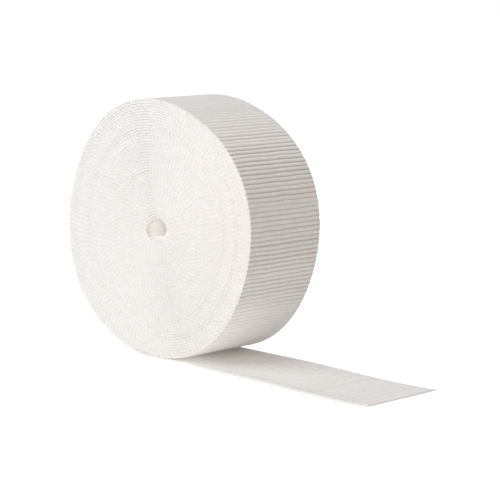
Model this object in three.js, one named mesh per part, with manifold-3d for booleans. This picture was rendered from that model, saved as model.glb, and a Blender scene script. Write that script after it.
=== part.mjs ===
// A roll of woven webbing: one long ribbed strip wound flat on itself, its loose end lying on the surface.
//
// Sizes are in millimetres and angles in degrees, with +Z up. The roll's axis runs along Y, straight
// above the origin, and the origin is on the surface that the roll stands on. The loose end runs to +X.

import * as THREE from 'three';
import { mergeVertices } from 'three/addons/utils/BufferGeometryUtils.js';
import Module from 'manifold-3d';

// The strip
const STRIP_WIDTH = 50;
const STRIP_THICKNESS = 1.28;
const EDGE_ROUNDING = 0.35;
const CLEARANCE = 0.3;

// The roll winds inwards from where the loose end leaves it to the strip's inner end, which stands in the hole
const ROLL_RADIUS = 64.84;
const AXIS_HEIGHT = 64.45;
const HOLE_RADIUS = 4.85;
const LEAVES_AT = -86.5;
const INNER_END_AT = 215;
const FULL_TURNS = 45;
const TURNS = FULL_TURNS + 1 + (LEAVES_AT - INNER_END_AT) / 360;

// How the turns lie out of round: each row adds that many lobes, one of them at the angle
const ROLL_LOBES = [
  { lobes: 2, rise: 0.37, at: -75 },
  { lobes: 3, rise: 0.36, at: -1 },
  { lobes: 4, rise: 0.94, at: 29 },
];
const HOLE_LOBES = [
  { lobes: 2, rise: 0.7, at: 8 },
  { lobes: 3, rise: 0.25, at: 200 },
];

// The turns lie in groups, each a little aside from the next, so neither face is level. A group starts
// so many turns in, and lies that far towards +Y.
const TURN_GROUPS = [
  { from: 0, aside: 0 },
  { from: 3, aside: 0.3 },
  { from: 7.6, aside: -0.1 },
  { from: 11.3, aside: 0.25 },
  { from: 14.4, aside: -0.15 },
  { from: 27, aside: 0.15 },
  { from: 38, aside: -0.1 },
];
const PLAIN_STEPS = 60;

// The ribs run across the strip, with a narrow groove between each two
const RIBS_AROUND = 176;
const RIB_PITCH = 2 * Math.PI * ROLL_RADIUS / RIBS_AROUND;
const GROOVE_DEPTH = 0.28;
const RIB_PROFILE = [
  { along: 0, depth: GROOVE_DEPTH },
  { along: 0.2, depth: 0 },
  { along: 0.8, depth: 0 },
];

// The loose end
const LOOSE_END_TIP = 139.75;
const ARCH = { from: 16, to: 108, rise: 0.45 };
const TIP_CURL = { from: 112, rise: 0.9 };

const WEBBING = new THREE.MeshStandardMaterial({ color: 0xece9e4, roughness: 0.85, metalness: 0 });

const { clamp, degToRad, lerp } = THREE.MathUtils;

const manifold = await Module();
manifold.setup();

function lobesAt(table, angle) {
  return table.reduce((sum, row) => sum + row.rise * Math.cos(row.lobes * degToRad(angle - row.at)), 0);
}

// A point on the winding's outer surface, so many turns in from where the loose end leaves. At the bottom
// it is pressed flat, on the surface or on the layers of strip that lie between, and has no grooves.
function windingPoint(turnsIn, depth = 0) {
  const degrees = LEAVES_AT - 360 * turnsIn;
  const angle = degToRad(degrees);
  const outer = ROLL_RADIUS + lobesAt(ROLL_LOBES, degrees);
  const inner = HOLE_RADIUS + lobesAt(HOLE_LOBES, degrees);
  const radius = lerp(outer, inner, turnsIn / (TURNS + 1));
  const layersBelow = Math.round(turnsIn);
  const overLooseEnd = layersBelow === 1 && turnsIn <= 1;
  const lowest = layersBelow * STRIP_THICKNESS + (overLooseEnd ? CLEARANCE : 0);
  const height = AXIS_HEIGHT + radius * Math.sin(angle);
  if (height < lowest) {
    return new THREE.Vector2(radius * Math.cos(angle), lowest);
  }
  return new THREE.Vector2((radius - depth) * Math.cos(angle), height - depth * Math.sin(angle));
}

// One turn of the winding as a closed outline. Its two ends meet in a step one strip high.
function plainTurn(from) {
  const points = [];
  for (let step = 0; step <= PLAIN_STEPS; step += 1) {
    points.push(windingPoint(from + step / PLAIN_STEPS));
  }
  return points;
}

function ribbedTurn() {
  const points = [windingPoint(0)];
  for (let rib = 0; rib < RIBS_AROUND; rib += 1) {
    for (const { along, depth } of RIB_PROFILE) {
      const turnsIn = (rib + along) / RIBS_AROUND;
      if (turnsIn > 0) {
        points.push(windingPoint(turnsIn, depth));
      }
    }
  }
  points.push(windingPoint(1));
  return points;
}

// A side view stretched over the strip's width, with both woven edges rounded
function acrossTheWidth(shape, aside = 0) {
  const geometry = new THREE.ExtrudeGeometry(shape, {
    depth: STRIP_WIDTH - 2 * EDGE_ROUNDING,
    bevelThickness: EDGE_ROUNDING,
    bevelSize: EDGE_ROUNDING,
    bevelOffset: -EDGE_ROUNDING,
    bevelSegments: 1,
  });
  geometry.translate(0, 0, EDGE_ROUNDING - STRIP_WIDTH / 2 - aside);
  return geometry;
}

function webbingMesh(name, geometry) {
  const mesh = new THREE.Mesh(geometry, WEBBING);
  mesh.name = name;
  mesh.rotation.x = Math.PI / 2;
  return mesh;
}

function solidOf(geometry) {
  geometry.deleteAttribute('normal');
  geometry.deleteAttribute('uv');
  const merged = mergeVertices(geometry, 1e-4);
  return new manifold.Manifold(new manifold.Mesh({
    numProp: 3,
    vertProperties: new Float32Array(merged.attributes.position.array),
    triVerts: new Uint32Array(merged.index.array),
  }));
}

function geometryOf(solid) {
  const { vertProperties, triVerts } = solid.getMesh();
  const geometry = new THREE.BufferGeometry();
  geometry.setAttribute('position', new THREE.BufferAttribute(vertProperties, 3));
  geometry.setIndex(new THREE.BufferAttribute(triVerts, 1));
  geometry.computeVertexNormals();
  return geometry;
}

// Each group of turns is a ring that reaches in to the next group's first turn, the last one to the hole,
// and the rings are joined into one solid
function woundRoll() {
  const rings = TURN_GROUPS.map(({ from, aside }, i) => {
    const shape = new THREE.Shape(from === 0 ? ribbedTurn() : plainTurn(from));
    const next = TURN_GROUPS[i + 1] ?? { from: TURNS };
    shape.holes.push(new THREE.Path(plainTurn(next.from).reverse()));
    return solidOf(acrossTheWidth(shape, aside));
  });
  return webbingMesh('wound_roll', geometryOf(rings.reduce((roll, ring) => roll.add(ring))));
}

// Where the loose end's underside lies: flat at the roll, then in one long low arch, and its tip curls up
function looseEndUnderside(x) {
  const arched = clamp((x - ARCH.from) / (ARCH.to - ARCH.from), 0, 1);
  const curled = clamp((x - TIP_CURL.from) / (LOOSE_END_TIP - TIP_CURL.from), 0, 1);
  return ARCH.rise * (1 - Math.cos(2 * Math.PI * arched)) / 2 + TIP_CURL.rise * curled ** 2;
}

function looseEnd() {
  const start = windingPoint(0).x + CLEARANCE;
  const ribs = Math.floor((LOOSE_END_TIP - start) / RIB_PITCH);
  const top = [new THREE.Vector2(start, STRIP_THICKNESS)];
  const underside = [new THREE.Vector2(start, 0)];
  for (let rib = 0; rib < ribs; rib += 1) {
    for (const { along, depth } of RIB_PROFILE) {
      const x = start + (rib + along) * RIB_PITCH;
      if (x > start) {
        top.push(new THREE.Vector2(x, looseEndUnderside(x) + STRIP_THICKNESS - depth));
      }
    }
    const ribEnd = start + (rib + 1) * RIB_PITCH;
    underside.push(new THREE.Vector2(ribEnd, looseEndUnderside(ribEnd)));
  }
  const tipUnderside = looseEndUnderside(LOOSE_END_TIP);
  top.push(new THREE.Vector2(LOOSE_END_TIP, tipUnderside + STRIP_THICKNESS));
  underside.push(new THREE.Vector2(LOOSE_END_TIP, tipUnderside));
  const shape = new THREE.Shape([...underside, ...top.reverse()]);
  return webbingMesh('loose_end', acrossTheWidth(shape));
}

const webbingRoll = new THREE.Group();
webbingRoll.add(woundRoll(), looseEnd());

export default webbingRoll;
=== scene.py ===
"""A roll of ribbed webbing with its loose end lying on the floor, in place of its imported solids.

Everything is in metres, in the frame of the solids: the roll's axis runs along Y, straight above the
origin, and the loose end runs to +X on the floor at Z = 0.

The strip is followed from the place where the loose end leaves the roll. From there a distance along it
is counted in ribs, upwards into the roll and downwards along the loose end.
"""

import math
from typing import NamedTuple

import bpy
import numpy as np
from mathutils import Matrix, Vector


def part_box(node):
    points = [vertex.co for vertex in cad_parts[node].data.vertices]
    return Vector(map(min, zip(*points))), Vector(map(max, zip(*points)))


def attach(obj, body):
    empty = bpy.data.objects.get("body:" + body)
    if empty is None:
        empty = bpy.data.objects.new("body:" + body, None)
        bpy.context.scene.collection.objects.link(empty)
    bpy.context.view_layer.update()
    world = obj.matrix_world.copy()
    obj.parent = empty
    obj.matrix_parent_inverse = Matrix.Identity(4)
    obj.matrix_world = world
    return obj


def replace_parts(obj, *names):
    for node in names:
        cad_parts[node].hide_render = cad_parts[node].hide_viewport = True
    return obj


bl_info = {
    "name": "Webbing roll",
    "version": (1, 0, 0),
    "blender": (4, 5, 0),
    "location": "View3D > Sidebar > Webbing",
    "description": "A roll of ribbed webbing with a loose end, and a plain white studio",
    "category": "Object",
}

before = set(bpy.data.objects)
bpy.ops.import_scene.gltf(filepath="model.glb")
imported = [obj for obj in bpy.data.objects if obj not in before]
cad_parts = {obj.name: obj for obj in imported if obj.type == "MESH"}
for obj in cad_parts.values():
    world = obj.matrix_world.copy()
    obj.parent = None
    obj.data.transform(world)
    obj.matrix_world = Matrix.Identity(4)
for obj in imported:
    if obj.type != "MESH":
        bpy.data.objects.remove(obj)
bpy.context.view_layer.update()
LOOSE_END_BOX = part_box("loose_end")

MILLIMETRE = 0.001
TURN = 360.0
STRIP_MAP = "strip"
BAKE_MAP = "OFBake"


# The path of the strip


class Lobes(NamedTuple):
    """How a turn lies out of round: so many lobes, how far each stands out, and the angle of one."""

    count: int
    rise: float
    at: float


class TurnGroup(NamedTuple):
    """Turns that lie a little aside of their neighbours, from so many turns in, towards +Y."""

    start: float
    aside: float


class Stop(NamedTuple):
    """A row of a table that is read in between its rows: a place, and the value there."""

    at: float
    value: float


ROLL_LOBES = (
    Lobes(2, 0.37 * MILLIMETRE, -75),
    Lobes(3, 0.36 * MILLIMETRE, -1),
    Lobes(4, 0.94 * MILLIMETRE, 29),
)
HOLE_LOBES = (
    Lobes(2, 0.7 * MILLIMETRE, 8),
    Lobes(3, 0.25 * MILLIMETRE, 200),
)
TURN_GROUPS = (
    TurnGroup(0, 0),
    TurnGroup(3, 0.3 * MILLIMETRE),
    TurnGroup(7.6, -0.1 * MILLIMETRE),
    TurnGroup(11.3, 0.25 * MILLIMETRE),
    TurnGroup(14.4, -0.15 * MILLIMETRE),
    TurnGroup(27, 0.15 * MILLIMETRE),
    TurnGroup(38, -0.1 * MILLIMETRE),
)
GROUP_BLEND_TURNS = 2.2
WANDER_TURNS = (0.83, 1.37, 2.9, 5.3)

# The innermost turns dip in on each face, most at one angle and least across from it
HOLE_DIP_TURNS = 3.5
HOLE_DIP_AT = 50
HOLE_DIP_MEAN = 0.6
HOLE_DIP_SWING = 0.4

# The pieces share the winding between them, in ribs counted from where the loose end leaves it
OUTER_TURN_RIBS = 181
RIM_TURNS_RIBS = 1560
BETWEEN_TURNS_RIBS = 2950
INNER_TURN_RIBS = 20


def between_stops(stops, places):
    """The values at some places, read in between the rows of a table."""
    return np.interp(places, [stop.at for stop in stops], [stop.value for stop in stops])


def lobes_at(table, degrees):
    """How far a turn stands out at an angle, all its lobes together."""
    return sum(row.rise * np.cos(row.count * np.radians(degrees - row.at)) for row in table)


def eased(share):
    """A smooth step from 0 to 1 as share goes from 0 to 1."""
    share = np.clip(share, 0, 1)
    return share * share * (3 - 2 * share)


class Winding:
    """Where the strip's outer surface runs, from where the loose end leaves the roll to the hole."""

    TABLE_STEPS_A_TURN = 720

    def __init__(self, roll):
        self.roll = roll
        self.leaves_at = math.degrees(roll.leaves_at)
        self.turns = roll.full_turns + 1 + (self.leaves_at - math.degrees(roll.inner_end_at)) / TURN
        self.turn_table = np.linspace(0, self.turns, int(self.turns * self.TABLE_STEPS_A_TURN))
        x, z, _, _ = self.place(self.turn_table)
        steps = np.hypot(np.diff(x), np.diff(z))
        self.length_table = np.concatenate(([0], np.cumsum(steps)))
        self.ribs = int(self.length_table[-1] / roll.rib_pitch)

    def place(self, turns_in):
        """The point that is so many turns in, and the way outwards there."""
        roll = self.roll
        degrees = self.leaves_at - TURN * turns_in
        outer = roll.radius + lobes_at(ROLL_LOBES, degrees)
        inner = roll.hole_radius + lobes_at(HOLE_LOBES, degrees)
        radius = outer + (inner - outer) * turns_in / (self.turns + 1)
        out_x = np.cos(np.radians(degrees))
        out_z = np.sin(np.radians(degrees))
        lowest = np.round(turns_in) * roll.strip_thickness
        height = np.maximum(roll.axis_height + radius * out_z, lowest)
        return radius * out_x, height, out_x, out_z

    def turns_at(self, ribs_in):
        """How many turns in the strip is, so many ribs along it."""
        return np.interp(ribs_in * self.roll.rib_pitch, self.length_table, self.turn_table)

    def aside(self, turns_in):
        """How far the turns lie towards +Y: group by group, and each turn a little by itself."""
        found = np.zeros_like(turns_in)
        for before, after in zip(TURN_GROUPS, TURN_GROUPS[1:]):
            share = (turns_in - after.start) / GROUP_BLEND_TURNS + 0.5
            found += (after.aside - before.aside) * eased(share)
        wander = self.roll.turn_wander
        rng = np.random.default_rng(self.roll.seed)
        for turns_a_wave in WANDER_TURNS:
            found += wander * np.sin(2 * np.pi * (turns_in / turns_a_wave + rng.random()))
        return found

    def lay(self, ribs_in, across, depth):
        """Points of a section that is laid on the path: so far across the strip, and so deep in it."""
        turns_in = self.turns_at(ribs_in)
        x, z, out_x, out_z = self.place(turns_in)
        y = across * self.width_left(turns_in) + self.aside(turns_in)
        return np.stack([x - depth * out_x, y, z - depth * out_z], axis=-1)

    def width_left(self, turns_in):
        """What share of the strip's width is left where the innermost turns dip in round the hole."""
        degrees = self.leaves_at - TURN * turns_in
        reach = HOLE_DIP_MEAN + HOLE_DIP_SWING * np.cos(np.radians(degrees - HOLE_DIP_AT))
        dip = self.roll.hole_dip * reach * eased(1 - (self.turns - turns_in) / HOLE_DIP_TURNS)
        return 1 - dip / (self.roll.strip_width / 2)


# The strip's own relief


# How deep the surface is from the middle of one groove to the middle of the next, a rib further
GROOVE_SHAPE = (
    Stop(0, 1),
    Stop(0.08, 0.66),
    Stop(0.19, 0.16),
    Stop(0.5, 0),
    Stop(0.81, 0.16),
    Stop(0.92, 0.66),
    Stop(1, 1),
)
RIB_SAMPLES = tuple(stop.at for stop in GROOVE_SHAPE[:-1])
LOOP_SAMPLES = (0, 0.25, 0.5, 0.75)

# How much of their full depth the outer turn's grooves have, at angles round the roll
GROOVE_STRENGTHS = (
    Stop(-86, 0.9),
    Stop(-30, 1),
    Stop(-15, 1.25),
    Stop(5, 1.05),
    Stop(25, 1.6),
    Stop(38, 1.2),
    Stop(50, 0.55),
    Stop(65, 0.4),
    Stop(110, 0.8),
)
INNER_GROOVE_SHARE = 0.6
RIM_GROOVE_SHARE = 0.9
RIBS_A_SWELL = 9

# A warp end comes up as a bead, lower on top of a rib than in a groove
BEAD_ON_RIB = 0.6
BEAD_SIZES = (0.2, 2.2)
# BEAD_SHADE: how strongly the dips between beads take painted shade
BEAD_SHADE = 1.8

# The woven edge is rounded and has one loop of weft a rib, half a rib later on the +Y side
EDGE_ANGLES = np.radians((90, 45, 0, -45, -90))
LOOP_SLANT = 0.18
LOOP_SHIFT = 0.5
# LOOP_SHADE: how strongly the notches between loops take painted shade
LOOP_SHADE = 0.5
NOTCH_SHARPNESS = 1.5
RIM_LOOP_SIZE = 1.5
RIBS_A_STRAY = 6

# Which points of the woven edge go into a ring
ALL_POINTS = slice(None)
ALL_BUT_OUTER = slice(1, None)
ALL_BUT_INNER = slice(None, -1)
MIDDLE_POINTS = slice(1, -1)

# The ribs waver along the strip, though not at its ends
RIB_WAVER_SHARE = 0.05
RIB_WAVER_STRIPS = 8
RIBS_A_WAVER = 2
STRAIGHT_END_RIBS = 0.5

# What is added to the seed for each kind of draw
LOOSE_END_DRAWS = 7
GROOVE_DRAWS = 40
SWELL_DRAWS = 44
BEAD_DRAWS = 48
LOOP_DRAWS = 50
STRAY_DRAWS = 55
OUTER_WAVER_DRAWS = 60
LOOSE_END_WAVER_DRAWS = 80


def sampled_ribs(first, last, samples):
    """Places along the strip from one whole rib to another, with the same samples in each rib."""
    whole = np.arange(first, last)[:, None] + np.array(samples)[None, :]
    return np.append(whole.ravel(), last)


def smooth_values(seed, places, spread):
    """One seeded random value for each whole place, and values between them in between."""
    rng = np.random.default_rng(seed)
    first = math.floor(places.min()) - 1
    knots = np.arange(first, math.ceil(places.max()) + 2)
    values = rng.normal(0, spread, len(knots)).clip(-2 * spread, 2 * spread)
    return np.interp(places, knots, values)


def rib_waver(seed, ribs_in, columns):
    """How far a rib wanders along the strip, as a share of a rib, at each column across it."""
    across = np.linspace(0, RIB_WAVER_STRIPS, columns)
    strands = [
        smooth_values(seed + strip, ribs_in / RIBS_A_WAVER, RIB_WAVER_SHARE)
        for strip in range(RIB_WAVER_STRIPS + 1)
    ]
    table = np.stack(strands, axis=1)
    left = np.minimum(across.astype(int), RIB_WAVER_STRIPS - 1)
    share = eased(across - left)
    return table[:, left] * (1 - share) + table[:, left + 1] * share


class Relief:
    """The depths and reaches of one strip's surfaces, at given places along it."""

    def __init__(self, roll, ribs_in, seed, loop_size=1):
        self.roll = roll
        self.ribs_in = ribs_in
        self.seed = seed
        self.notch_depth = roll.notch_depth * loop_size
        self.groove = between_stops(GROOVE_SHAPE, ribs_in % 1)

    def face_columns(self):
        """How far each column across a ribbed face lies from the strip's middle line."""
        roll = self.roll
        half = roll.strip_width / 2 - roll.edge_bulge
        columns = np.linspace(-half, half, 2 * roll.warp_ends + 1)
        across = np.ones((len(self.ribs_in), 1)) * columns[None, :]
        across[:, 0] += self.notch_depth * self.notch(-1)[:, 0]
        across[:, -1] -= self.notch_depth * self.notch(1)[:, 0]
        return across

    def face_depths(self, columns, strength):
        """How deep a ribbed face lies, and the painted shade of its hollows: grooves between ribs, a bead
        for each warp end.
        """
        roll = self.roll
        uneven = roll.rib_unevenness
        rib_depth = 1 + smooth_values(self.seed + GROOVE_DRAWS, np.round(self.ribs_in), uneven)
        rib_depth += smooth_values(self.seed + SWELL_DRAWS, self.ribs_in / RIBS_A_SWELL, uneven / 2)
        rib_depth *= strength
        grooves = roll.groove_depth * (self.groove * rib_depth)[:, None] * np.ones(columns)
        grooves[:, (0, -1)] *= RIM_GROOVE_SHARE
        rib = np.floor(self.ribs_in).astype(int)
        between_ends = (1 + np.cos(np.pi * (np.arange(columns)[None, :] + rib[:, None]))) / 2
        rng = np.random.default_rng(self.seed + BEAD_DRAWS)
        ribs = rib.max() - rib.min() + 1
        sizes = rng.normal(1, roll.bead_unevenness, (ribs, columns)).clip(*BEAD_SIZES)
        height = BEAD_ON_RIB + (1 - BEAD_ON_RIB) * self.groove[:, None]
        beads = roll.warp_relief * between_ends * sizes[rib - rib.min()] * height
        # Painted shade: darkest in the grooves and in the dips between beads
        hollow_shade = (grooves + BEAD_SHADE * beads) / roll.groove_depth
        return grooves + beads, np.clip(hollow_shade, 0, 1)

    def notch(self, side):
        """How far the woven edge dips between two loops of weft, from 0 to 1, a little on the slant."""
        roll = self.roll
        down = (1 - np.sin(EDGE_ANGLES)) / 2
        shift = LOOP_SHIFT if side > 0 else 0
        stray_seed = self.seed + STRAY_DRAWS + side
        astray = smooth_values(stray_seed, self.ribs_in / RIBS_A_STRAY, roll.loop_straying)
        phase = (self.ribs_in + astray)[:, None] + side * LOOP_SLANT * (down - 0.5)[None, :] + shift
        size = 1 + smooth_values(self.seed + LOOP_DRAWS + side, phase, roll.loop_unevenness)
        between_loops = (1 + np.cos(2 * np.pi * phase)) / 2
        return between_loops**NOTCH_SHARPNESS * size

    def edge(self, side):
        """The woven edge on one side, outside to inside: how far across, how deep, and the painted shade in
        its notches.
        """
        roll = self.roll
        notch = self.notch(side)
        reach = roll.edge_bulge * (np.cos(EDGE_ANGLES) - 1)[None, :] - self.notch_depth * notch
        down = (1 - np.sin(EDGE_ANGLES)) / 2 * roll.cloth_thickness
        return side * (roll.strip_width / 2 + reach), down[None, :] * np.ones_like(notch), LOOP_SHADE * notch


class Section(NamedTuple):
    """The rings of a closed strip: where each point lies, how much painted shade its hollows take, and if it
    is on an edge.
    """

    along: np.ndarray
    across: np.ndarray
    depth: np.ndarray
    hollow_shade: np.ndarray
    selvedge: np.ndarray


def joined_section(ribs_in, parts):
    """One closed ring for each place along, from parts that hold across, depth, hollow and selvedge."""
    stacked = [np.concatenate(arrays, axis=1) for arrays in zip(*parts)]
    along = ribs_in[:, None] * np.ones_like(stacked[0])
    return Section(along, *stacked)


def edge_part(relief, side, points):
    """The woven edge on one side, or those of its points, in the order of the ring."""
    across, depth, hollow_shade = relief.edge(side)
    part = (across, depth, hollow_shade, np.ones_like(across))
    return tuple(array[:, points][:, ::side] for array in part)


def ribbed_part(relief, from_inside, strength=1):
    """A ribbed face of the strip, on its outside or on its inside, in the order of the ring."""
    roll = relief.roll
    across = relief.face_columns()
    depths, hollow_shade = relief.face_depths(across.shape[1], strength)
    depth = roll.cloth_thickness - depths if from_inside else depths
    part = (across, depth, hollow_shade, np.zeros_like(across))
    return tuple(array[:, ::-1] for array in part) if from_inside else part


# From sections to meshes


# The bake's map has rows with margins between them, and the caps lie in the last margin
ROW_MARGIN = 0.04
CAP_HEIGHT_IN_MARGIN = 0.25
CAP_HALF_WIDTH = 0.4
CAP_HALF_HEIGHT = 0.2


def strip_faces(steps, ring):
    """Quads between neighbouring rings, and a cap at each end."""
    first = np.arange(steps - 1)[:, None] * ring
    corner = np.arange(ring)[None, :]
    after = (corner + 1) % ring
    quads = np.stack([first + corner, first + after, first + ring + after, first + ring + corner], axis=-1)
    caps = [list(range(ring))[::-1], list(range((steps - 1) * ring, steps * ring))]
    return quads.reshape(-1, 4).tolist() + caps


def add_maps(mesh, section, pitch, rows):
    """The map that the weave follows, in metres across and along, and one in even rows for bakes."""
    steps, ring = section.along.shape
    across = section.across.ravel()
    along = (section.along * pitch).ravel()
    corners = np.zeros(len(mesh.loops), dtype=np.int32)
    mesh.loops.foreach_get("vertex_index", corners)
    weave = mesh.uv_layers.new(name=STRIP_MAP)
    weave.uv.foreach_set("vector", np.stack([across[corners], along[corners]], axis=1).ravel())

    a_row = math.ceil((steps - 1) / rows)
    step = np.arange(steps - 1)
    row, place = step // a_row, step % a_row
    margin = ROW_MARGIN / rows
    height = 1 / rows - 2 * margin
    low_u = (place / a_row)[:, None] * np.ones(ring)
    high_u = ((place + 1) / a_row)[:, None] * np.ones(ring)
    low_v = (row / rows + margin)[:, None] + height * (np.arange(ring) / ring)[None, :]
    high_v = low_v + height / ring
    squares = np.stack([low_u, low_v, low_u, high_v, high_u, high_v, high_u, low_v], axis=-1)
    caps = np.tile((0.5, 1 - CAP_HEIGHT_IN_MARGIN * margin), 2 * ring)
    spin = 2 * np.pi * np.arange(2 * ring) / ring
    caps[0::2] += CAP_HALF_WIDTH * margin * np.cos(spin)
    caps[1::2] += CAP_HALF_HEIGHT * margin * np.sin(spin)
    bake = mesh.uv_layers.new(name=BAKE_MAP)
    bake.uv.foreach_set("vector", np.concatenate([squares.ravel(), caps]))


# Light that white surfaces give each other


# In the hole it sets in over the mouth, fades further in, and is weaker at the top
HOLE_MOUTH = 6 * MILLIMETRE
HOLE_DEEP = 18 * MILLIMETRE
HOLE_TOP_SHADE = 0.5

# On the ribbed side it sets in below an angle, over so many degrees, and fades towards the back
LOW_SIDE_FROM = -12
LOW_SIDE_BLEND = 36
LOW_SIDE_REACH = 48 * MILLIMETRE
LOW_SIDE_RIM = MILLIMETRE
STRAIGHT_DOWN = -90

# On the loose end it also comes in from the front, most at one place beside the roll, and what comes
# through the cloth is weaker towards the front edge
FRONT_LIGHT_AT = 20 * MILLIMETRE
FRONT_LIGHT_REACH = 13 * MILLIMETRE
FRONT_EDGE_FROM = 0.5
FRONT_EDGE_SHADE = 0.6

# How much light comes up through the loose end, at distances from the axis in millimetres
LOOSE_END_LIGHT = (
    Stop(2, 0.1),
    Stop(9, 0.4),
    Stop(15, 0.5),
    Stop(20, 0.55),
    Stop(30, 0.8),
    Stop(45, 0.95),
    Stop(60, 0.9),
    Stop(80, 0.75),
    Stop(100, 0.5),
    Stop(140, 0.45),
)


def hole_light(points, roll):
    """Light that the white walls of the hole throw on each other behind its lit mouth, least at its top."""
    from_face = points[..., 1] + roll.strip_width / 2
    upwards = (points[..., 2] - roll.axis_height) / roll.hole_radius
    way_in = eased(from_face / HOLE_MOUTH) * np.exp(-((from_face / HOLE_DEEP) ** 2))
    return roll.hole_light * way_in * (1 - HOLE_TOP_SHADE * eased(upwards))


def low_side_light(points, roll):
    """Light that the floor in front throws up at the low part of the roll's side."""
    x, y, z = np.moveaxis(points, -1, 0)
    degrees = np.degrees(np.arctan2(z - roll.axis_height, x))
    low = eased((LOW_SIDE_FROM - degrees) / LOW_SIDE_BLEND) * (degrees > STRAIGHT_DOWN)
    from_face = y + roll.strip_width / 2
    inwards = eased(from_face / LOW_SIDE_RIM) * eased(1 - from_face / LOW_SIDE_REACH)
    return roll.low_side_light * low * inwards


def loose_end_light(points, roll):
    """Light that comes up from the white floor through one thickness of cloth, and in from the front."""
    x, y, _ = np.moveaxis(points, -1, 0)
    towards_front = -y / (roll.strip_width / 2)
    front_edge = eased((towards_front - FRONT_EDGE_FROM) / (1 - FRONT_EDGE_FROM))
    through = between_stops(LOOSE_END_LIGHT, x / MILLIMETRE) * (1 - FRONT_EDGE_SHADE * front_edge)
    in_front = eased(towards_front) * np.exp(-(((x - FRONT_LIGHT_AT) / FRONT_LIGHT_REACH) ** 2))
    return roll.loose_end_light * (through + in_front)


# The pieces


def strip_piece(name, section, points, roll, rows, light=None):
    """A closed strip as an object that rides on the roll and takes the webbing's finish."""
    steps, ring = section.along.shape
    mesh = bpy.data.meshes.new(name)
    mesh.from_pydata(points.reshape(-1, 3).tolist(), [], strip_faces(steps, ring))
    fields = {"hollow_shade": section.hollow_shade, "selvedge": section.selvedge}
    if light:
        fields["through"] = light(points, roll)
    for label, values in fields.items():
        attribute = mesh.attributes.new(label, "FLOAT", "POINT")
        attribute.data.foreach_set("value", values.astype(np.float32).ravel())
    add_maps(mesh, section, roll.rib_pitch, rows)
    mesh.polygons.foreach_set("use_smooth", np.ones(len(mesh.polygons), dtype=bool))
    for cap in (mesh.polygons[-1], mesh.polygons[-2]):
        cap.use_smooth = False
    mesh.validate()
    mesh.update()
    mesh.materials.append(webbing_material(roll, lit=light is not None))
    piece = bpy.data.objects.new(name, mesh)
    bpy.context.scene.collection.objects.link(piece)
    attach(piece, "root")
    return piece


def wound_strip(name, winding, first, last):
    """Turns of the strip inside the roll, of which only the woven edges show."""
    roll = winding.roll
    ribs_in = sampled_ribs(first, last, LOOP_SAMPLES)
    relief = Relief(roll, ribs_in, roll.seed)
    edges = [edge_part(relief, side, ALL_POINTS) for side in (1, -1)]
    section = joined_section(ribs_in, edges)
    points = winding.lay(section.along, section.across, section.depth)
    return strip_piece(name, section, points, roll, rows=12)


def outer_turn(winding):
    """The turn that shows all round, ribbed on its outer face."""
    roll = winding.roll
    ribs_in = sampled_ribs(0, OUTER_TURN_RIBS, RIB_SAMPLES)
    relief = Relief(roll, ribs_in, roll.seed, RIM_LOOP_SIZE)
    angles = (winding.leaves_at - TURN * winding.turns_at(ribs_in)) % TURN
    strength = between_stops(GROOVE_STRENGTHS, np.where(angles > TURN / 2, angles - TURN, angles))
    section = joined_section(
        ribs_in,
        [
            ribbed_part(relief, from_inside=False, strength=strength),
            edge_part(relief, 1, ALL_BUT_OUTER),
            edge_part(relief, -1, ALL_BUT_OUTER),
        ],
    )
    waver = rib_waver(roll.seed + OUTER_WAVER_DRAWS, ribs_in, section.along.shape[1])
    inside = (ribs_in > STRAIGHT_END_RIBS) & (ribs_in < OUTER_TURN_RIBS - STRAIGHT_END_RIBS)
    along = section.along + waver * inside[:, None]
    points = winding.lay(along, section.across, section.depth)
    return strip_piece("outer_turn", section, points, roll, rows=3, light=low_side_light)


def inner_turn(winding):
    """The turn round the hole, ribbed on its inner face, with the strip's inner end."""
    roll = winding.roll
    ribs_in = sampled_ribs(winding.ribs - INNER_TURN_RIBS, winding.ribs, RIB_SAMPLES)
    relief = Relief(roll, ribs_in, roll.seed)
    section = joined_section(
        ribs_in,
        [
            edge_part(relief, 1, ALL_BUT_INNER),
            ribbed_part(relief, from_inside=True, strength=INNER_GROOVE_SHARE),
            edge_part(relief, -1, ALL_BUT_INNER),
        ],
    )
    points = winding.lay(section.along, section.across, section.depth)
    return strip_piece("inner_turn", section, points, roll, rows=1, light=hole_light)


def loose_end(winding):
    """The end of the strip that lies on the floor, ribbed on both faces, in one long low arch."""
    roll = winding.roll
    start = winding.place(np.zeros(1))[0][0]
    tip = LOOSE_END_BOX[1].x
    ribs = (tip - start) / roll.rib_pitch
    ribs_in = np.append(sampled_ribs(0, int(ribs), RIB_SAMPLES), ribs)
    relief = Relief(roll, ribs_in, roll.seed + LOOSE_END_DRAWS)
    section = joined_section(
        ribs_in,
        [
            ribbed_part(relief, from_inside=False),
            edge_part(relief, 1, MIDDLE_POINTS),
            ribbed_part(relief, from_inside=True),
            edge_part(relief, -1, MIDDLE_POINTS),
        ],
    )
    waver = rib_waver(roll.seed + LOOSE_END_WAVER_DRAWS, ribs_in, section.along.shape[1])
    inside = (ribs_in > STRAIGHT_END_RIBS) & (ribs_in < ribs - STRAIGHT_END_RIBS)
    x = start + (section.along + waver * inside[:, None]) * roll.rib_pitch
    arched = np.clip((x - roll.arch_from) / (roll.arch_to - roll.arch_from), 0, 1)
    curled = np.clip((x - roll.curl_from) / (tip - roll.curl_from), 0, 1)
    underside = roll.arch_rise * (1 - np.cos(2 * np.pi * arched)) / 2 + roll.curl_rise * curled**2
    pressed = 1 - roll.cut_thinning * eased((x - tip) / roll.cut_length + 1)
    z = underside + roll.strip_thickness - section.depth * pressed
    points = np.stack([x, section.across, z], axis=-1)
    return strip_piece("loose_end_cloth", section, points, roll, rows=2, light=loose_end_light)


# The finish


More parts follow.
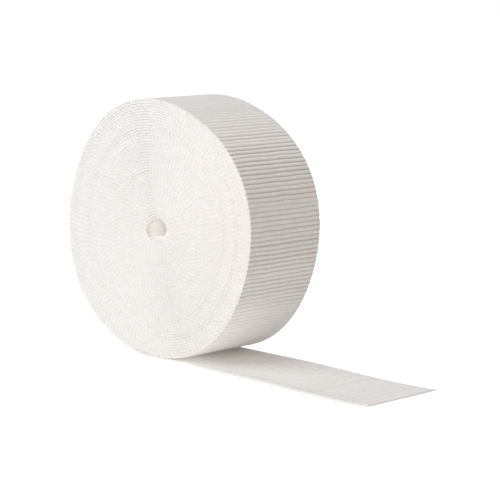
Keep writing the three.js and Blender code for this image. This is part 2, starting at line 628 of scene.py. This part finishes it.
class Nodes:
    """Adds shader nodes to a material or a world, and links them."""

    def __init__(self, material):
        material.use_nodes = True
        self.tree = material.node_tree
        self.tree.nodes.clear()

    def add(self, kind, **settings):
        node = self.tree.nodes.new(kind)
        for name, value in settings.items():
            setattr(node, name, value)
        return node

    def link(self, source, target):
        self.tree.links.new(source, target)

    def noise(self, source, scale, detail):
        """Noise from 0 to 1, with a scale of its own for each of the source's coordinates."""
        scaled = self.add("ShaderNodeVectorMath", operation="MULTIPLY")
        scaled.inputs[1].default_value = scale
        self.link(source, scaled.inputs[0])
        node = self.add("ShaderNodeTexNoise")
        node.inputs["Scale"].default_value = 1
        node.inputs["Detail"].default_value = detail
        self.link(scaled.outputs[0], node.inputs["Vector"])
        return node.outputs["Fac"]

    def spread(self, source, low, high):
        """source from 0 to 1 spread over low to high."""
        node = self.add("ShaderNodeMapRange")
        node.inputs["To Min"].default_value = low
        node.inputs["To Max"].default_value = high
        self.link(source, node.inputs["Value"])
        return node.outputs["Result"]

    def sums(self, operation, first, second):
        node = self.add("ShaderNodeMath", operation=operation)
        for socket, value in zip(node.inputs, (first, second)):
            if isinstance(value, (int, float)):
                socket.default_value = value
            else:
                self.link(value, socket)
        return node.outputs[0]

    def either(self, share, first, second):
        """The first number, or the second where share is 1."""
        node = self.add("ShaderNodeMix", data_type="FLOAT")
        self.link(share, node.inputs[0])
        self.link(first, node.inputs[2])
        self.link(second, node.inputs[3])
        return node.outputs[0]

    def blend(self, share, first, second):
        """From the first colour to the second as share goes from 0 to 1."""
        node = self.add("ShaderNodeMix", data_type="RGBA")
        self.link(share, node.inputs["Factor"])
        for socket, value in ((node.inputs[6], first), (node.inputs[7], second)):
            if isinstance(value, bpy.types.NodeSocket):
                self.link(value, socket)
            else:
                socket.default_value = (*value, 1)
        return node.outputs[2]


# Filaments are streaks of noise, along the strip on its faces and along Y on its woven edges
FILAMENTS_A_METRE = 5200
STREAKS_A_METRE = FILAMENTS_A_METRE / 40
FILAMENT_SCALE = (FILAMENTS_A_METRE, STREAKS_A_METRE, 1)
LOOP_SCALE = (FILAMENTS_A_METRE / 2, FILAMENTS_A_METRE / 6, FILAMENTS_A_METRE / 2)
FILAMENT_DETAIL = 3
BATCH_SCALE = (160, 14, 1)
BATCH_DETAIL = 2
STREAK_TONES = (-0.2, 0.5)
ROUGHNESS = (0.5, 0.82)
HOLLOW_ROUGHNESS = 0.4
SHEEN_WEIGHT = 0.12
SHEEN_ROUGHNESS = 0.5
SPECULAR_LEVEL = 0.4
FILAMENT_BUMP = 0.5
FILAMENT_HEIGHT = 0.06 * MILLIMETRE


def webbing_material(roll, lit):
    """Off-white polypropylene yarn: fine filaments along each yarn, and painted shade that darkens the
    hollows.

    Where it is lit, white surfaces close by throw light on it that a few bounces leave out.
    """
    name = "woven_polypropylene_lit" if lit else "woven_polypropylene"
    if name in bpy.data.materials:
        return bpy.data.materials[name]
    material = bpy.data.materials.new(name)
    nodes = Nodes(material)
    weave = nodes.add("ShaderNodeUVMap", uv_map=STRIP_MAP).outputs["UV"]
    place = nodes.add("ShaderNodeTexCoord").outputs["Object"]
    hollow_shade = nodes.add("ShaderNodeAttribute", attribute_name="hollow_shade").outputs["Fac"]
    selvedge = nodes.add("ShaderNodeAttribute", attribute_name="selvedge").outputs["Fac"]

    along = nodes.noise(weave, FILAMENT_SCALE, FILAMENT_DETAIL)
    around = nodes.noise(place, LOOP_SCALE, FILAMENT_DETAIL)
    filaments = nodes.either(selvedge, along, around)
    batches = nodes.noise(weave, BATCH_SCALE, BATCH_DETAIL)
    colour = nodes.blend(batches, roll.yarn_colour, roll.yarn_second_colour)
    streaked = nodes.blend(nodes.spread(filaments, *STREAK_TONES), colour, roll.yarn_second_colour)
    # Painted shade: the hollows are blended towards a darker colour
    shaded = nodes.blend(nodes.spread(hollow_shade, 0, roll.painted_shade_tone), streaked, roll.painted_shade_colour)

    shader = nodes.add("ShaderNodeBsdfPrincipled")
    nodes.link(shaded, shader.inputs["Base Color"])
    rougher = nodes.sums("ADD", filaments, nodes.sums("MULTIPLY", hollow_shade, HOLLOW_ROUGHNESS))
    nodes.link(nodes.spread(rougher, *ROUGHNESS), shader.inputs["Roughness"])
    if lit:
        through = nodes.add("ShaderNodeAttribute", attribute_name="through").outputs["Fac"]
        nodes.link(through, shader.inputs["Emission Strength"])
        shader.inputs["Emission Color"].default_value = (*roll.through_colour, 1)
    shader.inputs["Sheen Weight"].default_value = SHEEN_WEIGHT
    shader.inputs["Sheen Roughness"].default_value = SHEEN_ROUGHNESS
    shader.inputs["Specular IOR Level"].default_value = SPECULAR_LEVEL
    bump = nodes.add("ShaderNodeBump")
    bump.inputs["Strength"].default_value = FILAMENT_BUMP
    bump.inputs["Distance"].default_value = FILAMENT_HEIGHT
    nodes.link(filaments, bump.inputs["Height"])
    nodes.link(bump.outputs["Normal"], shader.inputs["Normal"])
    output = nodes.add("ShaderNodeOutputMaterial")
    nodes.link(shader.outputs["BSDF"], output.inputs["Surface"])
    return material


# The studio


CAMERA_PLACE = Vector((0.70993, -0.73065, 0.22074))
CAMERA_TARGET = Vector((0.04036, 0, 0.05741))
CAMERA_ROLL = math.radians(1.8673)
CAMERA_LENS = 147.98
CAMERA_SENSOR = 36
CAMERA_REACH = 20
FLOOR_DROP = 0.02 * MILLIMETRE
LIGHTS_TARGET = Vector((0.02, 0, 0.06))
KEY_PLACE = Vector((-0.19, -1.12, 1.13))
TOP_PLACE = Vector((0, 0, 1.6))
FRONT_PLACE = Vector((0.75, -0.95, 0.45))


def add_camera():
    """The camera that sees the roll as the photo does."""
    back = (CAMERA_PLACE - CAMERA_TARGET).normalized()
    right = Vector((0, 0, 1)).cross(back).normalized()
    up = back.cross(right)
    turn = Matrix((right, up, back)).transposed().to_4x4() @ Matrix.Rotation(CAMERA_ROLL, 4, "Z")
    data = bpy.data.cameras.new("photo_camera")
    data.lens = CAMERA_LENS
    data.sensor_width = CAMERA_SENSOR
    data.sensor_fit = "HORIZONTAL"
    data.clip_end = CAMERA_REACH
    camera = bpy.data.objects.new("photo_camera", data)
    camera.matrix_world = Matrix.Translation(CAMERA_PLACE) @ turn
    bpy.context.scene.collection.objects.link(camera)
    bpy.context.scene.camera = camera


def add_softbox(name, place, size, power, colour):
    """A large soft square light that faces the roll."""
    data = bpy.data.lights.new(name, "AREA")
    data.shape = "SQUARE"
    data.size = size
    data.energy = power
    data.color = colour
    light = bpy.data.objects.new(name, data)
    light.location = place
    light.rotation_euler = (LIGHTS_TARGET - place).to_track_quat("-Z", "Y").to_euler()
    bpy.context.scene.collection.objects.link(light)


def camera_and_other_rays(nodes, shown, other):
    """A mix of two shaders, one that the camera sees directly and one that lights the object."""
    mix = nodes.add("ShaderNodeMixShader")
    nodes.link(nodes.add("ShaderNodeLightPath").outputs["Is Camera Ray"], mix.inputs["Fac"])
    nodes.link(other, mix.inputs[1])
    nodes.link(shown, mix.inputs[2])
    return mix.outputs["Shader"]


def with_glow(nodes, surface, strength):
    """A surface that also gives white light of its own."""
    glow = nodes.add("ShaderNodeEmission")
    glow.inputs["Strength"].default_value = strength
    both = nodes.add("ShaderNodeAddShader")
    nodes.link(surface, both.inputs[0])
    nodes.link(glow.outputs[0], both.inputs[1])
    return both.outputs[0]


def add_surroundings(studio):
    """White all round for the camera, and a dimmer, slightly cool white as the light that it gives."""
    world = bpy.data.worlds.new("white_studio")
    bpy.context.scene.world = world
    nodes = Nodes(world)
    shown = nodes.add("ShaderNodeBackground")
    shown.inputs["Color"].default_value = (1, 1, 1, 1)
    other = nodes.add("ShaderNodeBackground")
    other.inputs["Color"].default_value = (*studio.fill_colour, 1)
    other.inputs["Strength"].default_value = studio.fill_strength
    surface = camera_and_other_rays(nodes, shown.outputs[0], other.outputs[0])
    nodes.link(surface, nodes.add("ShaderNodeOutputWorld").inputs["Surface"])


def add_floor(studio):
    """A square white floor just under the roll, which looks brighter than the light that it gives."""
    half = studio.floor_size / 2
    corners = [(x * half, y * half, -FLOOR_DROP) for x, y in ((-1, -1), (1, -1), (1, 1), (-1, 1))]
    mesh = bpy.data.meshes.new("white_floor")
    mesh.from_pydata(corners, [], [(0, 1, 2, 3)])
    material = bpy.data.materials.new("white_floor")
    nodes = Nodes(material)
    matt = nodes.add("ShaderNodeBsdfDiffuse")
    matt.inputs["Color"].default_value = (*studio.floor_colour, 1)
    shown = with_glow(nodes, matt.outputs[0], studio.floor_glow)
    other = with_glow(nodes, matt.outputs[0], studio.floor_light)
    surface = camera_and_other_rays(nodes, shown, other)
    nodes.link(surface, nodes.add("ShaderNodeOutputMaterial").inputs["Surface"])
    mesh.materials.append(material)
    floor = bpy.data.objects.new("white_floor", mesh)
    bpy.context.scene.collection.objects.link(floor)


# What a user would change


def length_property(name, description, millimetres):
    return bpy.props.FloatProperty(
        name=name,
        description=description,
        default=millimetres * MILLIMETRE,
        subtype="DISTANCE",
        unit="LENGTH",
    )


def angle_property(name, description, degrees):
    return bpy.props.FloatProperty(
        name=name,
        description=description,
        default=math.radians(degrees),
        subtype="ANGLE",
        unit="ROTATION",
    )


def share_property(name, description, share):
    return bpy.props.FloatProperty(name=name, description=description, default=share, subtype="FACTOR")


def colour_property(name, description, colour):
    return bpy.props.FloatVectorProperty(
        name=name,
        description=description,
        default=colour,
        subtype="COLOR",
        min=0,
        max=1,
    )


class WebbingRollSettings(bpy.types.PropertyGroup):
    """The strip and how it is wound."""

    strip_width: bpy.props.FloatProperty(
        name="Strip width",
        description="Width of the webbing between its woven edges",
        default=LOOSE_END_BOX[1].y - LOOSE_END_BOX[0].y,
        subtype="DISTANCE",
        unit="LENGTH",
    )
    strip_thickness: length_property("Strip thickness", "Thickness of the webbing over its ribs", 1.28)
    cloth_thickness: length_property("Cloth thickness", "The same, less the gap between two turns", 1.24)
    radius: length_property("Roll radius", "Mean radius of the outer turn", 64.84)
    axis_height: length_property("Axis height", "Height of the roll's axis above the floor", 64.45)
    hole_radius: length_property("Hole radius", "Mean radius of the open centre", 4.85)
    full_turns: bpy.props.IntProperty(
        name="Full turns",
        description="Whole turns of the strip in the roll",
        default=45,
    )
    leaves_at: angle_property("Leaves at", "Angle where the loose end leaves the roll", -86.5)
    inner_end_at: angle_property("Inner end at", "Angle of the strip's inner end, in the hole", 215)
    turn_wander: length_property("Turn wander", "How far single turns lie aside of their group", 0.02)
    arch_from: length_property("Arch from", "How far from the axis the loose end's low arch begins", 16)
    arch_to: length_property("Arch to", "How far from the axis it ends", 108)
    arch_rise: length_property("Arch rise", "Height of the loose end's long low arch", 0.45)
    curl_from: length_property("Curl from", "How far from the axis the tip begins to curl up", 112)
    curl_rise: length_property("Curl rise", "How far the tip curls up", 0.9)
    cut_length: length_property("Cut length", "How much of the tip the cut has pressed", 2)
    cut_thinning: share_property("Cut thinning", "How much thinner the cut has left it", 0.5)
    rib_pitch: length_property("Rib pitch", "Distance from one rib to the next", 2.3148)
    hole_dip: length_property("Hole dip", "How far the innermost turns dip in on each face", 1.5)
    groove_depth: length_property("Groove depth", "Depth of the groove between two ribs", 0.5)
    rib_unevenness: share_property("Rib unevenness", "How much the grooves differ in depth", 0.25)
    warp_ends: bpy.props.IntProperty(
        name="Warp ends",
        description="Yarns that show side by side across the strip",
        default=39,
    )
    warp_relief: length_property("Warp relief", "How far each warp end stands out", 0.15)
    bead_unevenness: share_property("Bead unevenness", "How much the warp ends differ in height", 0.4)
    edge_bulge: length_property("Edge bulge", "How far the woven edge is rounded", 0.12)
    notch_depth: length_property("Notch depth", "How deep the woven edge dips between two loops", 0.24)
    loop_unevenness: share_property("Loop unevenness", "How much the edge's loops differ in size", 0.35)
    loop_straying: share_property("Loop straying", "How far the loops stray along the edge, in ribs", 0.22)
    yarn_colour: colour_property("Yarn", "Main colour of the yarn", (0.955, 0.938, 0.922))
    yarn_second_colour: colour_property("Second yarn", "Colour of its duller batches", (0.935, 0.914, 0.893))
    # Painted shade: the darker colour that the hollows between the yarns take, and how strongly
    painted_shade_colour: colour_property("Hollow", "Colour deep between the yarns", (0.74, 0.72, 0.7))
    painted_shade_tone: share_property("Hollow tone", "How strongly the hollows take their colour", 0.78)
    hole_light: share_property("Hole light", "Light between the white walls of the hole", 0.26)
    low_side_light: share_property("Low side light", "Light from the floor on the side's low part", 0.12)
    loose_end_light: share_property("Loose end light", "Light that comes up through the loose end", 0.12)
    through_colour: colour_property("Light through", "Colour of light that came through", (1, 0.99, 0.97))
    seed: bpy.props.IntProperty(name="Seed", description="Start of the random draws", default=11)


class StudioSettings(bpy.types.PropertyGroup):
    """The floor and the lights."""

    floor_size: length_property("Floor size", "Side of the square floor", 6000)
    floor_colour: colour_property("Floor", "Colour of the floor", (0.9, 0.9, 0.9))
    floor_glow: bpy.props.FloatProperty(
        name="Floor glow",
        description="Light that the camera sees in the floor besides what it reflects",
        default=0.8,
    )
    floor_light: bpy.props.FloatProperty(
        name="Floor light",
        description="Light that the floor gives the roll besides what it reflects",
        default=0.1,
    )
    key_power: bpy.props.FloatProperty(
        name="Key light",
        description="Power of the large soft light at the front left",
        default=14.6,
        unit="POWER",
    )
    key_size: length_property("Key size", "Side of the large soft light", 1200)
    key_colour: colour_property("Key colour", "Colour of the large soft light", (0.87, 0.93, 1))
    top_power: bpy.props.FloatProperty(
        name="Top light",
        description="Power of the soft light straight above",
        default=5.4,
        unit="POWER",
    )
    top_colour: colour_property("Top colour", "Colour of the light straight above", (1, 0.95, 0.85))
    front_power: bpy.props.FloatProperty(
        name="Front light",
        description="Power of the soft light above the camera",
        default=2,
        unit="POWER",
    )
    front_size: length_property("Front size", "Side of the soft light above the camera", 700)
    front_colour: colour_property("Front colour", "Colour of the light above the camera", (1, 0.6, 0.2))
    fill_strength: bpy.props.FloatProperty(
        name="Fill",
        description="Strength of the light from all round",
        default=0.3,
    )
    fill_colour: colour_property("Fill colour", "Colour of the light from all round", (0.96, 0.96, 1))


# The operators and the panel


class WEBBING_OT_outer_turn(bpy.types.Operator):
    """Make the ribbed outer turn"""

    bl_idname = "webbing.outer_turn"
    bl_label = "Outer turn"

    def execute(self, context):
        piece = outer_turn(Winding(context.scene.webbing_roll))
        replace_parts(piece, "wound_roll")
        return {"FINISHED"}


class WEBBING_OT_wound_turns(bpy.types.Operator):
    """Make the turns inside the roll, whose woven edges make its two faces"""

    bl_idname = "webbing.wound_turns"
    bl_label = "Wound turns"

    def execute(self, context):
        winding = Winding(context.scene.webbing_roll)
        ends = (
            ("rim_turns", OUTER_TURN_RIBS, RIM_TURNS_RIBS),
            ("between_turns", RIM_TURNS_RIBS, BETWEEN_TURNS_RIBS),
            ("middle_turns", BETWEEN_TURNS_RIBS, winding.ribs - INNER_TURN_RIBS),
        )
        for name, first, last in ends:
            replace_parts(wound_strip(name, winding, first, last), "wound_roll")
        return {"FINISHED"}


class WEBBING_OT_inner_turn(bpy.types.Operator):
    """Make the ribbed turn round the hole"""

    bl_idname = "webbing.inner_turn"
    bl_label = "Inner turn"

    def execute(self, context):
        piece = inner_turn(Winding(context.scene.webbing_roll))
        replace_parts(piece, "wound_roll")
        return {"FINISHED"}


class WEBBING_OT_loose_end(bpy.types.Operator):
    """Make the loose end that lies on the floor"""

    bl_idname = "webbing.loose_end"
    bl_label = "Loose end"

    def execute(self, context):
        roll = context.scene.webbing_roll
        piece = loose_end(Winding(roll))
        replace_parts(piece, "loose_end")
        return {"FINISHED"}


class WEBBING_OT_studio(bpy.types.Operator):
    """Make the white floor, the soft lights and the camera"""

    bl_idname = "webbing.studio"
    bl_label = "Studio"

    def execute(self, context):
        studio = context.scene.webbing_studio
        add_floor(studio)
        add_surroundings(studio)
        add_softbox("key_light", KEY_PLACE, studio.key_size, studio.key_power, studio.key_colour)
        add_softbox("top_light", TOP_PLACE, studio.key_size, studio.top_power, studio.top_colour)
        add_softbox("front_light", FRONT_PLACE, studio.front_size, studio.front_power, studio.front_colour)
        add_camera()
        context.scene.view_settings.view_transform = "Standard"
        return {"FINISHED"}


class WEBBING_PT_panel(bpy.types.Panel):
    """Lists the operators and what they take"""

    bl_label = "Webbing roll"
    bl_idname = "WEBBING_PT_panel"
    bl_space_type = "VIEW_3D"
    bl_region_type = "UI"
    bl_category = "Webbing"

    def draw(self, context):
        for settings in (context.scene.webbing_roll, context.scene.webbing_studio):
            column = self.layout.column()
            for name in settings.__annotations__:
                column.prop(settings, name)
        for operator in OPERATORS:
            self.layout.operator(operator.bl_idname)


OPERATORS = (
    WEBBING_OT_outer_turn,
    WEBBING_OT_wound_turns,
    WEBBING_OT_inner_turn,
    WEBBING_OT_loose_end,
    WEBBING_OT_studio,
)
CLASSES = (WebbingRollSettings, StudioSettings, *OPERATORS, WEBBING_PT_panel)


def register():
    for cls in CLASSES:
        bpy.utils.register_class(cls)
    bpy.types.Scene.webbing_roll = bpy.props.PointerProperty(type=WebbingRollSettings)
    bpy.types.Scene.webbing_studio = bpy.props.PointerProperty(type=StudioSettings)


def unregister():
    del bpy.types.Scene.webbing_studio
    del bpy.types.Scene.webbing_roll
    for cls in reversed(CLASSES):
        bpy.utils.unregister_class(cls)


def main():
    register()
    bpy.ops.webbing.outer_turn()
    bpy.ops.webbing.wound_turns()
    bpy.ops.webbing.inner_turn()
    bpy.ops.webbing.loose_end()
    bpy.ops.webbing.studio()


if __name__ == "__main__":
    main()
